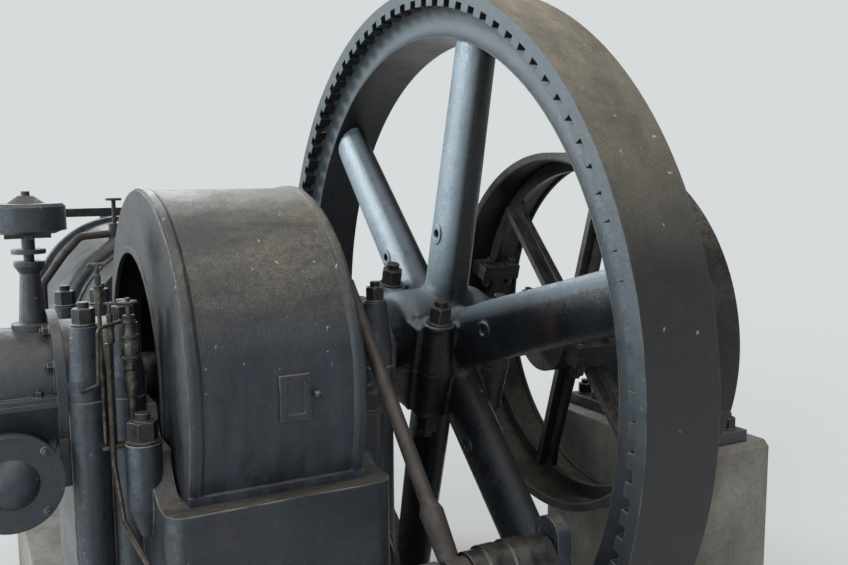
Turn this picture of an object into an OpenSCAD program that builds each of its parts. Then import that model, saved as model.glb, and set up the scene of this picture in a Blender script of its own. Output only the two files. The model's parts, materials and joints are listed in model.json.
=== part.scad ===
// Horizontal stationary engine with a side crank gear case, a large spoked
// flywheel with an internal barring ring, a split belt pulley and an outboard bearing.
// X runs along the crankshaft towards the pulley, Y from the crank end towards the
// cylinder head, Z up. The origin is on the level base, below the middle of the crank.

/* [Crankshaft] */
// Diameter of the crankshaft
shaft_d = 160; // [140:5:170]
// Half of the piston's stroke
crank_throw = 250; // [200:10:270]
// Thickness of each crank web
web_t = 100; // [80:5:110]
// Width of each crank web
web_w = 250; // [220:10:280]
// Length of the crankpin between the webs
pin_len = 150; // [120:10:170]
// Length of shaft that stands free past the outboard bearing
shaft_end = 90; // [60:10:140]

/* [Flywheel] */
// Radius of the flywheel's tread
wheel_r = 1350; // [1300:10:1380]
// Width of the flywheel's rim
rim_w = 266; // [220:2:300]
// Depth of the rim from the tread inwards
rim_depth = 172; // [160:2:190]
// Distance from the middle of the crank to the rim's face with the barring ring
wheel_x = 740; // [720:5:780]
// Number of barring notches
notch_count = 96; // [72:6:108]
// Depth of a barring notch along the radius
notch_depth = 26; // [20:2:40]
// Width of a barring notch
notch_w = 40; // [32:2:46]
// Depth of a barring notch into the rim's face
notch_in = 50; // [30:5:60]
// Width of the plain band outside the notches
band_w = 42; // [36:2:56]
// Hollow of the sunk band inside the notches
band_hollow = 16; // [8:2:24]
// Outside radius of the flywheel's hub
hub_r = 215; // [200:5:235]
// Length of the flywheel's hub
hub_len = 420; // [380:10:440]
// Height of a spoke's oval at the hub
spoke_h = 236; // [200:4:250]
// Thickness of a spoke's oval at the hub
spoke_t = 150; // [120:5:170]
// Part of the spoke's size that is left at the rim
spoke_taper = 0.82; // [0.7:0.02:1]
// Angle of the flywheel at rest, from its hub's joint being level
wheel_turn = 14; // [0:1:60]
// Clear height between the flywheel's lowest point and the level base
pit_clear = 70; // [50:5:150]

/* [Belt pulley] */
// Radius of the pulley's tread
pulley_r = 756; // [700:4:800]
// Width of the pulley's rim
pulley_w = 336; // [300:4:360]
// Thickness of the pulley's rim
pulley_t = 24; // [18:1:30]
// Distance from the middle of the crank to the pulley's near edge
pulley_x = 1389; // [1370:1:1400]
// Outside radius of the pulley's hub
pulley_hub_r = 165; // [150:5:185]
// Width of a pulley arm
arm_w = 92; // [76:4:104]
// Thickness of a pulley arm
arm_t = 30; // [26:2:44]
// Angle of the pulley's joint above the level
pulley_turn = 17; // [0:1:30]

/* [Bed and bearings] */
// Height of the crankshaft above the bed's foot
bed_h = 950; // [900:10:1000]
// Half of the bed's width at the crank pit
bed_half = 350; // [340:2:360]
// Thickness of the bed's walls
wall_t = 55; // [40:5:60]
// Distance from the crankshaft to the bed's front wall
bed_front = 655; // [650:5:700]
// Depth of the bed's front ledge below the crankshaft
ledge_drop = 270; // [250:5:300]
// Distance from the middle of the crank to the middle of a main bearing
bearing_x = 430; // [427:1:436]
// Length of a main bearing
bearing_len = 230; // [200:5:236]
// Half of the distance between the front and back studs of a bearing
stud_y = 228; // [220:2:240]
// Height of a bearing cap above the crankshaft
cap_h = 226; // [215:1:240]

/* [Crank guard] */
// Outside radius of the crank guard
guard_r = 635; // [615:5:640]
// Half of the crank guard's width
guard_half = 274; // [260:2:280]
// Thickness of the guard's plate
guard_t = 10; // [6:1:14]
// Radius of the arched opening in each side of the guard
arch_r = 408; // [380:4:430]
// Distance from the crankshaft to the middle of the arched opening
arch_y = 150; // [120:5:160]

/* [Cylinder] */
// Outside radius of the cylinder's water jacket
jacket_r = 430; // [400:5:440]
// Distance from the crankshaft to the jacket's front face
jacket_y = 960; // [940:10:1000]
// Length of the jacket
jacket_len = 980; // [900:10:1080]
// Length of the cylinder head
head_len = 190; // [160:10:230]
// Radius of the cylinder head
head_r = 400; // [370:5:410]
// Outside radius of the trunk between the crank and the jacket
neck_r = 380; // [360:5:390]

/* [Gear case and governor] */
// Outside radius of the gear case's barrel
case_r = 200; // [190:2:206]
// Length of the gear case's barrel
case_len = 275; // [260:5:320]
// Depth of the side shaft below the crankshaft
lay_drop = 215; // [205:5:225]
// Distance from the middle of the crank to the side shaft
lay_x = 715; // [710:5:725]
// Diameter of the side shaft
lay_d = 56; // [46:2:64]
// Outside radius of the side shaft's housing
lay_case_r = 124; // [116:2:130]
// Radius of the governor's drum
drum_r = 116; // [100:2:124]
// Height of the governor's drum
drum_h = 84; // [70:2:96]
// Height of the governor's column above the gear case
column_h = 172; // [150:2:190]

/* [Outboard bearing] */
// Distance from the middle of the crank to the middle of the outboard bearing
outboard_x = 1990; // [1970:5:2020]
// Length of the outboard bearing
outboard_len = 220; // [200:10:250]
// Depth of the outboard block's top below the crankshaft
block_drop = 470; // [440:5:480]
// Width of the outboard block along the crankshaft
block_w = 440; // [420:10:480]
// Length of the outboard block across the crankshaft
block_len = 980; // [960:10:1040]

/* [Barring gear] */
// Distance from the crankshaft to the barring shaft, towards the front
bar_y = 1060; // [1050:5:1080]
// Depth of the barring shaft below the crankshaft
bar_drop = 425; // [420:5:440]
// Diameter of the barring shaft
bar_d = 64; // [56:2:70]
// Length of the barring lever above its socket
lever_len = 860; // [700:10:900]
// Lean of the barring lever from upright, back towards the bed
lever_lean = 44; // [38:1:46]

/* [Hidden] */
$fn = 72;

// Height of the crankshaft and of the concrete under the bed
sh = wheel_r + pit_clear;
fnd_h = sh - bed_h;
shaft_r = shaft_d / 2;
// Clearance of a turning journal, of a keyed seat and of a part beside a moving one
run_gap = 0.08;
seat_gap = 0.05;
side_gap = 6;

// Bed
pit_half = guard_half - 30;
pit_y = 560;
pit_floor = sh - 560;
bed_back = 700;
ledge_z = sh - ledge_drop;
shoulder_z = sh - 135;
bearing_in = bearing_x - bearing_len / 2;
bearing_out = bearing_x + bearing_len / 2;
pillar_r = 58;
nose_r = 50;
nose_z = 123;
stud_x = bearing_len / 2 - pillar_r;
stud_d = 34;
nut_w = 60;
nut_h = 54;
corner_r = 60;
cheek_r = ledge_drop - 135;
collar_r = 172;
collar_w = 58;
tie_x = bed_half + 12;
tie_y = 420;
tie_z = sh - 105;
tie_r = 53;
tie_nut_w = 78;
tie_nut_h = 66;
foot_t = 45;
foot_over = 60;

// Crank guard and its hatch
bead = 8;
guard_band = 45;
guard_corner = 16;
arch_rim = 6;
arch_rim_w = 20;
lip_h = 26;
lip_out = 12;
rod_slot = 330;
hatch_x = 37;
hatch_z = -43;
hatch_w = 96;
hatch_h = 137;
hatch_rim = 20;
knob_r = 9;

// Flywheel and pulley
rim_in = wheel_r - rim_depth;
notch_root = wheel_r - band_w;
notch_tip = notch_root - notch_depth;
band_steps = 12;
notch_sill = 4;
notch_phase = 0.17;
wheel_mid = wheel_x + rim_w / 2;
hub_x = wheel_mid - hub_len / 2 - 16;
boss_r = 62;
boss_y = hub_r - 10;
boss_z = 185;
face_t = 34;
hub_end = hub_x + hub_len;
bolt_left = hub_x + boss_r + 28;
bolt_right = hub_end - boss_r - 12;
spoke_eye = 460;
eye_r = 17;
pulley_mid = pulley_x + pulley_w / 2;
pulley_hub_len = 380;
pulley_lug = 46;
pulley_bolt_x = pulley_hub_len / 2 - 55;
split_gap = 2;

valve_y = 112;
valve_r = 92;
valve_reach = jacket_r + 20;
exhaust_r = 66;
exhaust_bore = 54;
exhaust_pcd = 172;
exhaust_flange_r = 105;
exhaust_flange_t = 26;
exhaust_bend_r = 130;
exhaust_run = 60;
rocker_t = 44;
pushrod_r = 16;

// Cylinder ring and the water pipe around it
ring_r = 445;
ring_y = 90;
pipe_y = 1040;
pipe_r = 17;

// Oiling
oiler_x = bed_half + 24;
oiler_y = 336;
drain_r = 9;
feed_r = 6;

// Gear case
case_flange_t = 30;
case_in = bearing_out + case_flange_t;
case_end = case_in + case_len;
case_t = 14;
case_cone = 30;
gov_x = case_in + 36;
gov_z = sh + case_r - 2;
lay_flange_r = lay_case_r + 21;
lay_flange_t = 22;
lug_w = 60;
lug_h = 150;
lay_end = 290;
case_bolt_r = case_r + 26;

// Outboard bearing and barring gear
block_z = sh - block_drop;
shaft_right = outboard_x + outboard_len / 2 + 15 + shaft_end;
bar_z = sh - bar_drop;
bar_left = 225;
bar_right = wheel_x - 30;
lever_x = 345;
bar_collar_r = 75;

module x_rod(r, x0, x1) {
  translate([x0, 0, 0]) rotate([0, 90, 0]) cylinder(r = r, h = x1 - x0);
}

module y_rod(r, y0, y1) {
  translate([0, y0, 0]) rotate([-90, 0, 0]) cylinder(r = r, h = y1 - y0);
}

// A stud's end with its chamfered hexagon nut and washer, standing on the level z = 0
module nut(w, h, stud = 0) {
  washer = h * 0.12;
  cylinder(d = w * 1.28, h = washer);
  translate([0, 0, washer]) intersection() {
    cylinder(d = w * 1.15, h = h - washer, $fn = 6);
    cylinder(r1 = w / 2 + 1.5 * (h - washer), r2 = w / 2, h = h - washer);
  }
  if (stud > 0) translate([0, 0, h]) cylinder(d = stud, h = h * 0.35);
}

function unit(v) = v / norm(v);

// The vector a turned towards b by the share t of the angle between them
function turned(a, b, t) = let (angle = acos(unit(a) * unit(b)))
  (sin((1 - t) * angle) * a + sin(t * angle) * b) / sin(angle);

// Points of a bend of radius r at the corner b of the way from a to c
function bend(a, b, c, r) = let (u = unit(a - b), w = unit(c - b), half = acos(u * w) / 2,
  middle = b + unit(u + w) * r / sin(half))
  [for (i = [0 : 5]) middle + turned(b + u * r / tan(half) - middle, b + w * r / tan(half) - middle, i / 5)];

// A route through corners, with a bend of radius r at each one between its ends
function route(corners, r) = let (last = len(corners) - 1) concat([corners[0]],
  [for (i = [1 : last - 1]) each bend(corners[i - 1], corners[i], corners[i + 1], r)], [corners[last]]);

// A pipe of radius r along a route's points. No stretch of it runs along the level direction [1, 1].
module pipe(points, r, sides = 12) {
  last = len(points) - 1;
  rings = [for (i = [0 : last]) let (along = unit(points[min(i + 1, last)] - points[max(i - 1, 0)]),
    side = unit(cross([1, 1, 0], along)), up = cross(along, side))
    for (k = [0 : sides - 1]) points[i] + r * (side * cos(k * 360 / sides) + up * sin(k * 360 / sides))];
  walls = [for (i = [0 : last - 1], k = [0 : sides - 1]) let (a = i * sides, b = (k + 1) % sides)
    each [[a + k, a + sides + k, a + sides + b], [a + k, a + sides + b, a + b]]];
  polyhedron(rings, concat([[for (k = [0 : sides - 1]) k]], walls,
    [[for (k = [sides - 1 : -1 : 0]) last * sides + k]]));
}

module foundation() {
  color("gray") {
    translate([-bearing_out - 60, -bed_front - 90, 0])
      cube([2 * bearing_out + 120, bed_front + jacket_y + jacket_len + 60, fnd_h]);
    translate([bar_left - 70, -bar_y - 130, 0])
      cube([bar_right - bar_left + 70, bar_y + 130 - bed_front - 90, fnd_h]);
  }
}

module outboard_block() {
  edge = 25;
  color("silver") translate([outboard_x - block_w / 2, 0, 0]) rotate([90, 0, 90])
    linear_extrude(block_w) polygon([[-block_len / 2, 0], [block_len / 2, 0],
      [block_len / 2, block_z - edge], [block_len / 2 - edge, block_z],
      [edge - block_len / 2, block_z], [-block_len / 2, block_z - edge]]);
}

// Outline of a bed side wall above the ledge, seen along the crankshaft
module cheek() {
  rotate([90, 0, 90]) linear_extrude(bed_half - guard_half - 12) difference() {
    polygon([[-pit_y, ledge_z - 1], [-pit_y, shoulder_z], [-stud_y - 60, shoulder_z],
      [-stud_y, sh - 40], [bed_back - 120, sh - 40], [bed_back, ledge_z - 1]]);
    translate([-pit_y, shoulder_z]) circle(r = cheek_r);
  }
}

// Outline of the bed, with round corners at the front
module bed_outline(over) {
  front = -bed_front - over;
  half = bed_half + over;
  translate([-half, front + corner_r]) square([2 * half, bed_back - front - corner_r]);
  translate([-half + corner_r, front]) square([2 * half - 2 * corner_r, 2 * corner_r]);
  for (side = [-1, 1]) translate([side * (half - corner_r), front + corner_r]) circle(r = corner_r);
}

module pedestal() {
  translate([bearing_in, -stud_y - 18, fnd_h]) cube([bearing_len, 2 * stud_y + 36, bed_h]);
  for (dx = [-stud_x, stud_x], y = [-stud_y - 4, stud_y + 4])
    translate([bearing_x + dx, y, fnd_h]) cylinder(r = pillar_r, h = bed_h);
}

// Stepped collars at the flywheel's side of the right bearing, upper or lower half
module bearing_collars(upper) {
  difference() {
    x_rod(collar_r, bearing_out, bearing_out + collar_w - 18);
    translate([bearing_out - 1, -collar_r, upper ? -collar_r : 0]) cube([collar_w, 2 * collar_r, collar_r]);
  }
  difference() {
    x_rod(collar_r - 16, bearing_out, bearing_out + collar_w);
    translate([bearing_out - 1, -collar_r, upper ? -collar_r : 0])
      cube([collar_w + 2, 2 * collar_r, collar_r]);
  }
}

module bed() {
  color("darkslategray") difference() {
    union() {
      translate([0, 0, fnd_h]) linear_extrude(ledge_z - fnd_h) bed_outline(0);
      translate([0, 0, fnd_h]) linear_extrude(foot_t) bed_outline(foot_over / 2);
      translate([guard_half + 12, 0, 0]) cheek();
      mirror([1, 0, 0]) translate([guard_half + 12, 0, 0]) cheek();
      pedestal();
      mirror([1, 0, 0]) pedestal();
      translate([0, 0, sh]) bearing_collars(false);
      for (side = [-1, 1]) translate([side * tie_x, -tie_y, ledge_z - 120]) {
        cylinder(r1 = 20, r2 = tie_r, h = 90);
        translate([0, 0, 90]) cylinder(r = tie_r, h = tie_z - ledge_z + 30);
      }
      // Round trunk between the crank pit and the cylinder, on its block
      translate([0, 0, sh]) y_rod(neck_r, bed_back - 40, jacket_y - 40);
      translate([0, 0, sh]) y_rod(neck_r + 14, jacket_y - 60, jacket_y);
      translate([-bed_half + 20, bed_back - 1, fnd_h])
        cube([2 * bed_half - 40, jacket_y - bed_back + 1, sh - fnd_h - 200]);
    }
    // Crank pit, open above
    translate([-pit_half, -pit_y, pit_floor]) cube([2 * pit_half, 2 * pit_y, bed_h]);
    translate([0, 0, sh]) y_rod(neck_r - wall_t, pit_y - 10, jacket_y + 1);
    // Bearing bores and the level joints under the caps
    translate([0, 0, sh]) x_rod(shaft_r + run_gap, -bearing_out - 1, bearing_out + 1);
    translate([0, 0, sh]) x_rod(shaft_r + side_gap, bearing_out, bearing_out + collar_w + 1);
    translate([-guard_half - 12, -guard_r - 4, ledge_z]) cube([2 * guard_half + 24, 2 * guard_r, bed_h]);
  }
}

module bearing_cap() {
  color("darkslategray") difference() {
    union() {
      translate([bearing_x, 0, sh]) intersection() {
        x_rod(cap_h - 12, -bearing_len / 2, bearing_len / 2);
        translate([-bearing_len / 2, -stud_y, 0]) cube([bearing_len, 2 * stud_y, cap_h]);
      }
      translate([bearing_in, -stud_y - 18, sh]) cube([bearing_len, 2 * stud_y + 36, 58]);
      // Bosses of the studs, with a round foot and a collar below the taper
      for (dx = [-stud_x, stud_x], y = [-stud_y, stud_y]) translate([bearing_x + dx, y, sh]) {
        cylinder(r = pillar_r, h = 67);
        translate([0, 0, 67]) cylinder(r1 = pillar_r, r2 = nose_r, h = nose_z - 67);
        translate([0, 0, nose_z]) cylinder(r1 = nose_r, r2 = nose_r - 7, h = cap_h - nose_z);
      }
    }
    translate([0, 0, sh]) x_rod(shaft_r + run_gap, bearing_in - 1, bearing_out + 1);
  }
}

module left_bearing_cap() { mirror([1, 0, 0]) bearing_cap(); }

module right_bearing_cap() {
  bearing_cap();
  color("darkslategray") translate([0, 0, sh]) difference() {
    bearing_collars(true);
    x_rod(shaft_r + side_gap, bearing_out - 1, bearing_out + collar_w + 1);
  }
}

module cap_nuts() {
  color("dimgray") for (dx = [-stud_x, stud_x], y = [-stud_y, stud_y])
    translate([bearing_x + dx, y, sh + cap_h]) nut(nut_w, nut_h, stud_d);
}

module left_cap_nuts() { mirror([1, 0, 0]) cap_nuts(); }

module right_cap_nuts() { cap_nuts(); }

// Nuts of the tie bolts at the front shoulders of the bed
module front_tie_nuts() {
  color("dimgray") for (side = [-1, 1]) translate([side * tie_x, -tie_y, tie_z])
    nut(tie_nut_w, tie_nut_h, stud_d + 10);
}

// Half section of the hood without its cavity: radius along X, crankshaft along Y
module guard_profile() {
  square([guard_r - bead, guard_half]);
  for (y = [0, 2 * guard_half - guard_band]) translate([0, y]) {
    square([guard_r - guard_corner, guard_band]);
    translate([0, guard_corner]) square([guard_r, guard_band - 2 * guard_corner]);
    for (end = [guard_corner, guard_band - guard_corner])
      translate([guard_r - guard_corner, end]) circle(r = guard_corner);
  }
  translate([0, guard_band / 2]) square([guard_r - bead, 2 * guard_half - guard_band]);
}

module crank_guard() {
  front_foot = -sqrt(guard_r * guard_r - ledge_drop * ledge_drop);
  color("midnightblue") translate([0, 0, sh]) difference() {
    union() {
      difference() {
        translate([-guard_half, 0, 0]) rotate([90, 0, 90]) rotate_extrude($fn = 144) guard_profile();
        translate([-guard_half - 1, -guard_r - 1, -guard_r - 1])
          cube([2 * guard_half + 2, 2 * guard_r + 2, guard_r + 1 - ledge_drop]);
      }
      for (x = [-guard_half - arch_rim, guard_half])
        translate([x, 0, 0]) rotate([90, 0, 90]) linear_extrude(arch_rim)
          arch(arch_r + arch_rim_w, ledge_drop);
      // Lip along the front foot
      translate([-guard_half, front_foot - lip_out, -ledge_drop])
        cube([2 * guard_half, lip_out + 20, lip_h]);
    }
    x_rod(guard_r - bead - guard_t, -guard_half + guard_t, guard_half - guard_t, $fn = 144);
    translate([-guard_half - 20, 0, 0]) rotate([90, 0, 90]) linear_extrude(2 * guard_half + 40)
      arch(arch_r, ledge_drop + 20);
    // Way for the connecting rod at the back
    translate([-rod_slot / 2, 0, -ledge_drop - 1]) cube([rod_slot, guard_r + 1, ledge_drop + 200]);
  }
}

// Arched opening: half round above the crankshaft's level, straight down to the drop
module arch(r, drop) {
  intersection() {
    translate([arch_y, 0]) circle(r = r, $fn = 96);
    translate([arch_y - r, 0]) square([2 * r, r]);
  }
  translate([arch_y - r, -drop]) square([2 * r, drop]);
}

// Part of a ring about the crankshaft, between two heights on the front side
module front_band(r0, r1, z0, z1) {
  intersection() {
    difference() {
      circle(r = r1, $fn = 144);
      circle(r = r0, $fn = 144);
    }
    translate([-r1 - 1, z0]) square([r1, z1 - z0]);
  }
}

module guard_hatch() {
  color("midnightblue") translate([hatch_x - hatch_w / 2, 0, sh]) {
    rotate([90, 0, 90]) difference() {
      linear_extrude(hatch_w) front_band(guard_r - bead + seat_gap, guard_r + 4, hatch_z, hatch_z + hatch_h);
      translate([0, 0, hatch_rim]) linear_extrude(hatch_w - 2 * hatch_rim)
        front_band(guard_r, guard_r + 8, hatch_z + hatch_rim, hatch_z + hatch_h - hatch_rim);
    }
    // Knob beside the hatch
    translate([hatch_w + 2 * knob_r, 0, 30]) {
      y_rod(knob_r, -guard_r - 8, -guard_r + bead + 0.5);
      translate([0, -guard_r - 10, 0]) sphere(r = knob_r + 3);
    }
  }
}

module cylinder_jacket() {
  leg_y = jacket_y + jacket_len - 560;
  color("darkslategray") difference() {
    union() {
      translate([0, 0, sh]) y_rod(jacket_r, jacket_y + 60, jacket_y + jacket_len);
      // Front ring, rounded from its face up to its full size
      translate([0, jacket_y, sh]) rotate([-90, 0, 0]) rotate_extrude() {
        square([ring_r - ring_y / 2, ring_y + 60]);
        translate([0, ring_y / 2]) square([ring_r, ring_y / 2 + 60]);
        translate([ring_r - ring_y / 2, ring_y / 2]) circle(r = ring_y / 2);
      }
      translate([0, 0, sh]) y_rod(jacket_r + 25, jacket_y + jacket_len - 60, jacket_y + jacket_len);
      translate([-jacket_r + 110, leg_y, fnd_h]) cube([2 * jacket_r - 220, 420, sh - fnd_h - 200]);
      translate([-jacket_r + 70, leg_y - 40, fnd_h]) cube([2 * jacket_r - 140, 500, foot_t]);
    }
    translate([0, 0, sh]) y_rod(jacket_r - wall_t - 120, jacket_y - 1, jacket_y + 200);
  }
}

module cylinder_head() {
  head_y = jacket_y + jacket_len;
  color("darkslategray") translate([0, head_y, sh]) {
    y_rod(head_r, 0, 70);
    y_rod(head_r - 70, 70, head_len);
    for (side = [0, 180]) translate([0, valve_y, 0]) rotate([side, 0, 0]) translate([0, 0, 190])
      cylinder(r = valve_r, h = valve_reach - 190);
  }
}

module head_nuts() {
  color("dimgray") for (i = [1 : 5], half = [0, 180]) rotate_about_head(i * 30 + half)
    translate([0, jacket_y + jacket_len + 70, head_r - 36]) rotate([-90, 0, 0]) nut(52, 44, 30);
}

module rotate_about_head(angle) {
  translate([0, 0, sh]) rotate([0, angle, 0]) children();
}

module exhaust_bend() {
  out_y = exhaust_bend_r + exhaust_run;
  top_z = sh - valve_reach - exhaust_flange_t;
  color("saddlebrown") translate([0, jacket_y + jacket_len + valve_y, top_z]) difference() {
    union() {
      cylinder(r = exhaust_flange_r, h = exhaust_flange_t);
      translate([0, 0, -exhaust_run]) cylinder(r = exhaust_r, h = exhaust_run);
      translate([0, exhaust_bend_r, -exhaust_run]) rotate([-90, 0, -90])
        rotate_extrude(angle = 90) translate([exhaust_bend_r, 0]) circle(r = exhaust_r);
      translate([0, 0, -exhaust_run - exhaust_bend_r]) {
        y_rod(exhaust_r, exhaust_bend_r, out_y);
        y_rod(exhaust_flange_r, out_y, out_y + exhaust_flange_t);
      }
    }
    translate([0, 0, -exhaust_run - exhaust_bend_r]) {
      y_rod(exhaust_bore, exhaust_bend_r, out_y + exhaust_flange_t + 1);
      for (i = [0 : 5]) rotate([0, i * 60, 0]) translate([0, 0, exhaust_pcd / 2])
        y_rod(9, out_y - 1, out_y + exhaust_flange_t + 1);
    }
  }
}

module valve_rockers() {
  rocker_x = lay_x - 60;
  push_len = lay_drop + valve_reach - 50;
  color("dimgray") translate([-rocker_x, jacket_y + jacket_len + valve_y - rocker_t / 2, sh + valve_reach]) {
    cube([rocker_x + 40, rocker_t, rocker_t]);
    translate([0, 0, -push_len]) cylinder(r = pushrod_r, h = push_len);
  }
}

module case_body(upper) {
  intersection() {
    difference() {
      union() {
        x_rod(case_r + 50, -case_in, -bearing_out);
        x_rod(case_r, -case_end + case_cone, -case_in);
        translate([-case_end + case_cone, 0, 0]) rotate([0, -90, 0])
          cylinder(r1 = case_r, r2 = case_r - case_cone, h = case_cone);
        translate([-case_end + 20, -case_r - 34, -16]) cube([case_len - 20, 2 * case_r + 68, 32]);
        if (!upper) {
          translate([-lay_x, 0, -lay_drop]) y_rod(lay_case_r, -lay_end, lay_end);
          for (y = [-lay_end, lay_end - lay_flange_t])
            translate([-lay_x, 0, -lay_drop]) y_rod(lay_flange_r, y, y + lay_flange_t);
          // Lugs that tie the case to the bed's ledge
          for (y = [-1, 1]) translate([-case_in, y * (case_r - 8) - lug_w / 2, -ledge_drop])
            cube([case_in - bearing_out, lug_w, lug_h]);
        }
      }
      x_rod(case_r - case_t, -case_end + case_cone, -bearing_out - 20);
      x_rod(shaft_r + side_gap, -bearing_out - 21, -bearing_out + 1);
      if (!upper) translate([-lay_x, 0, -lay_drop]) y_rod(lay_d / 2 + run_gap, -lay_end - 1, lay_end + 1);
    }
    translate([-case_end - lay_flange_r, -400, upper ? 0 : -500]) cube([case_end + lay_flange_r, 800, 500]);
  }
}

// Bolts of the gear case's round flange and of its level joint
module gear_case_bolts() {
  color("dimgray") translate([0, 0, sh]) {
    for (a = [28, 62, 118, 152])
      rotate([a, 0, 0]) translate([-case_in, case_bolt_r, 0]) rotate([0, -90, 0]) nut(30, 20, 16);
    for (x = [case_in + 50, case_end - 70], y = [-1, 1])
      translate([-x, y * (case_r + 18), 16]) nut(26, 20, 14);
    for (a = [45 : 90 : 315]) translate([-lay_x, -lay_end - 14, -lay_drop]) rotate([0, a, 0])
      translate([0, 0, lay_flange_r - 16]) rotate([90, 0, 0]) nut(20, 14, 10);
  }
}

module gear_case_lower() {
  color("darkslategray") translate([0, 0, sh]) case_body(false);
}

module gear_case_upper() {
  color("darkslategray") translate([0, 0, sh]) case_body(true);
}

module gear_case_lid() {
  color("darkslategray") translate([-case_end + 95, 0, sh + case_r - 6]) difference() {
    union() {
      for (y = [-38, 38]) translate([0, y, 0]) cylinder(r = 44, h = 20);
      translate([-44, -38, 0]) cube([88, 76, 20]);
    }
    translate([-100, 0, -case_r + 6]) x_rod(case_r + 0.05, 0, 200);
  }
}

module layshaft_cover() {
  dome_r = 76;
  color("darkslategray") translate([-lay_x, -lay_end, sh - lay_drop]) {
    y_rod(lay_flange_r, -14, 0);
    translate([0, -14, 0]) intersection() {
      translate([0, 52, 0]) sphere(r = 92);
      y_rod(dome_r, -60, 0);
    }
  }
}

module layshaft() {
  color("silver") translate([-lay_x, 0, sh - lay_drop])
    y_rod(lay_d / 2, 2 - lay_end, jacket_y + jacket_len + 190);
}

module layshaft_bearings() {
  color("darkslategray") for (y = [jacket_y + 160, jacket_y + jacket_len - 130]) difference() {
    union() {
      translate([-lay_x, 0, sh - lay_drop]) y_rod(62, y, y + 60);
      translate([-lay_x, y + 5, sh - lay_drop - 28]) cube([lay_x - jacket_r + 60, 50, 56]);
    }
    translate([-lay_x, 0, sh - lay_drop]) y_rod(lay_d / 2 + run_gap, y - 1, y + 61);
    translate([0, 0, sh]) y_rod(jacket_r + 0.3, y - 1, y + 61);
  }
}

module governor_column() {
  color("darkslategray") translate([-gov_x, 0, gov_z]) difference() {
    union() {
      translate([0, 0, -14]) cylinder(r = 64, h = 28);
      cylinder(r1 = 42, r2 = 30, h = column_h);
      translate([0, 0, column_h]) cylinder(r1 = 30, r2 = 46, h = 26);
      translate([0, 0, column_h + 26]) cylinder(r = 46, h = 14);
    }
    translate([0, 0, column_h - 60]) cylinder(r = 16 + run_gap, h = 110);
    translate([0, 0, -gov_z + sh]) x_rod(case_r + seat_gap, -100, 100);
    translate([gov_x, 0, sh - gov_z]) x_rod(case_r + 50.3, -case_in - 0.3, 0);
  }
}

module governor_head() {
  disc_z = column_h + 40 + 4 * side_gap;
  drum_z = disc_z + 74;
  color("darkslategray") translate([-gov_x, 0, gov_z]) {
    translate([0, 0, column_h - 58]) cylinder(r = 16, h = disc_z - column_h + 60);
    translate([0, 0, disc_z]) cylinder(r = 51, h = 14);
    translate([0, 0, disc_z + 14]) cylinder(r = 20, h = 64);
    // Arms of the weights under the drum
    translate([-68, -11, disc_z + 48]) cube([136, 22, 14]);
    translate([-11, -68, disc_z + 48]) cube([22, 136, 14]);
    translate([0, 0, drum_z - 10]) cylinder(r1 = drum_r - 30, r2 = drum_r - 8, h = 10);
    translate([0, 0, drum_z]) cylinder(r = drum_r, h = drum_h - 10);
    translate([0, 0, drum_z + drum_h - 10]) cylinder(r1 = drum_r, r2 = drum_r - 10, h = 10);
    translate([0, 0, drum_z + drum_h]) cylinder(r1 = 56, r2 = 22, h = 24);
    translate([0, 0, drum_z + drum_h + 24]) cylinder(r = 13, h = 14);
  }
}

module sight_oiler() {
  base = shoulder_z + 10;
  color("goldenrod") {
    translate([-oiler_x - 94, -oiler_y - 18, shoulder_z]) cube([142, 50, 10]);
    translate([-oiler_x, -oiler_y, 0]) {
      translate([0, 0, base]) cylinder(r = 13, h = sh + 10 - base);
      translate([0, 0, sh + 10]) cylinder(r1 = 13, r2 = 20, h = 30);
      translate([0, 0, sh + 40]) cylinder(r = 20, h = 55);
      translate([0, 0, sh + 95]) cylinder(r = 14, h = 36);
      translate([0, 0, sh + 131]) cylinder(r = 26, h = 12);
      translate([0, 0, sh + 143]) cylinder(r = 21, h = 52);
      translate([0, 0, sh + 195]) cylinder(r = 26, h = 12);
      translate([0, 0, sh + 207]) cylinder(r1 = 20, r2 = 13, h = 24);
      translate([0, 0, sh + 231]) cylinder(r = 17, h = 34);
      translate([0, 0, sh + 265]) cylinder(r = 7, h = 34);
      translate([0, 0, sh + 299]) cylinder(r = 26, h = 8);
    }
  }
}

module oil_valves() {
  base = shoulder_z + 10;
  color("goldenrod") for (p = [[-oiler_x - 82, -oiler_y, 420], [-oiler_x - 52, -oiler_y + 14, 300]])
    translate([p[0], p[1], 0]) {
      translate([0, 0, base]) cylinder(r = 6, h = sh + p[2] - base);
      translate([0, 0, sh + p[2] - 110]) cylinder(r = 12, h = 44);
      translate([0, 0, sh + p[2] - 56]) cylinder(r = 9, h = 26);
      translate([0, 0, sh + p[2]]) x_rod(5, -22, 22);
    }
}

module oil_pipes() {
  drop_y = -oiler_y - 28;
  color("sienna") {
    // Drain from the oiler's bracket down to the foundation
    translate([-oiler_x - 66, drop_y, 0])
      pipe(route([[0, 0, sh + 190], [0, 0, sh - 180], [0, -130, sh - 310],
        [40, -290, sh - 400], [40, -290, fnd_h]], 50), drain_r);
    // Feed to the left bearing, curled down to its front pillar
    pipe(route([[-oiler_x - 18.5, -oiler_y, sh + 248], [-oiler_x - 92, drop_y, sh + 236],
      [-oiler_x - 98, drop_y + 8, sh + 66], [-oiler_x - 135, -stud_y - 58, sh + 34]], 18), feed_r);
  }
}

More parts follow.
